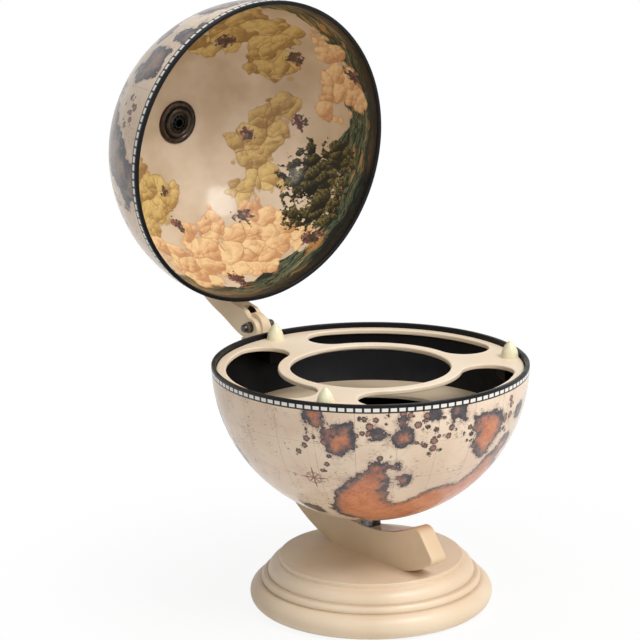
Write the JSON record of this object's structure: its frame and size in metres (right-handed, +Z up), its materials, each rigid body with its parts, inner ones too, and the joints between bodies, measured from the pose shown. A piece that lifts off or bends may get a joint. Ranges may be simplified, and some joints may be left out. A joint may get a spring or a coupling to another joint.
{
  "type": "tabletop globe bar",
  "caption": "Tabletop globe bar on a round base: bowl half with a serving tray, lid half hinged back on a curved arm, both turning on pole bolts.",
  "frame": {"origin": "centre of the felt under the base, on the table", "axes": "+Z up along the axis the bowl turns on, +Y towards the hinge, +X along the hinge pin"},
  "size_m": [0.33, 0.5538, 0.6199],
  "materials": {
    "cream_paint": "satin cream paint on wood",
    "felt": "black felt",
    "zinc": "zinc plated",
    "dark_steel": "blackened steel",
    "printed_shell": "lacquered printed paper on a moulded shell, inside of the bowl black",
    "black_edge": "black semi-gloss edge",
    "bronze": "dark antique bronze plating",
    "black_wood": "black painted blocks",
    "ivory": "ivory plastic, slightly glossy"
  },
  "bodies": {
    "stand": {"base_plinth": "cream_paint", "base_felt": "felt", "arm_screws": "zinc", "lower_arm": "cream_paint", "base_bolt": "dark_steel", "base_bolt_washer": "zinc", "bowl_spacer_nut": "dark_steel", "bowl_thrust_washer": "zinc", "bowl_star_washer": "dark_steel"},
    "bowl": {"bowl_shell": "printed_shell", "bowl_rim_ring": "black_edge", "bowl_escutcheon": "bronze", "bottle_shelf": "cream_paint", "serving_tray": "cream_paint", "tray_cleats": "black_wood", "tray_screws": "zinc", "tray_pegs": "ivory"},
    "lid_arm": {"upper_arm": "cream_paint", "hinge_pin": "zinc", "hinge_washers": "bronze", "hinge_cap_nuts": "bronze", "lid_bolt": "bronze", "lid_bolt_washer": "bronze", "lid_spacer_nut": "dark_steel", "lid_thrust_washer": "zinc", "lid_star_washer": "dark_steel"},
    "lid": {"lid_shell": "printed_shell", "lid_rim_ring": "black_edge", "lid_escutcheon": "bronze"}
  },
  "joints": [
    {"name": "bowl_spin", "type": "hinge", "parent": "stand", "child": "bowl", "pos_m": [0, 0, 0.262], "axis": [0, 0, 1], "continuous": true},
    {"name": "lid_hinge", "type": "hinge", "parent": "stand", "child": "lid_arm", "pos_m": [0, 0.194, 0.2615], "axis": [1, 0, 0], "range_deg": [0, 85.3]},
    {"name": "lid_spin", "type": "hinge", "parent": "lid_arm", "child": "lid", "pos_m": [0, 0.1796, 0.45497], "axis": [0, 0.9966, 0.0819], "continuous": true}
  ]
}
